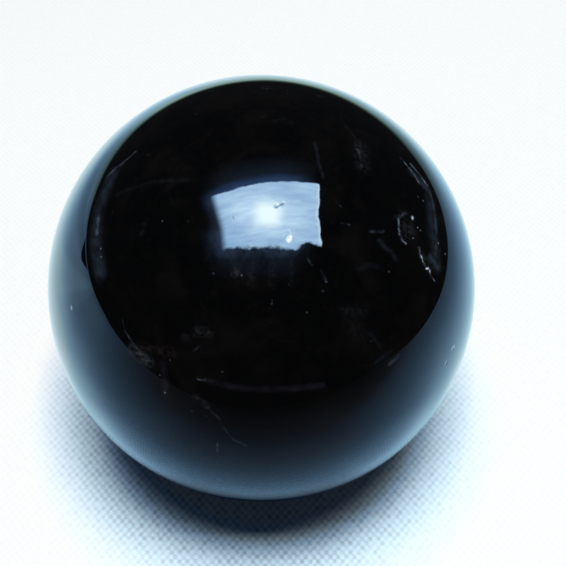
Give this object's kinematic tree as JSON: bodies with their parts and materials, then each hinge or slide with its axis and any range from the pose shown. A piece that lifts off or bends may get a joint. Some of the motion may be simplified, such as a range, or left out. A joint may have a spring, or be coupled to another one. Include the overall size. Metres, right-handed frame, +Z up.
{
  "type": "quartz sphere",
  "caption": "Polished ball of near-black smoky quartz with faint veils, cracks and specks inside, for display or as a paperweight.",
  "frame": {"origin": "centre of the ball", "axes": "+Z up through the crown, -Z down through the foot that the ball is seated on, and -Y towards the viewer"},
  "size_m": [0.05, 0.05, 0.05],
  "materials": {
    "smoky_quartz": "polished"
  },
  "bodies": {
    "root": {"quartz_sphere": "smoky_quartz"}
  },
  "joints": []
}
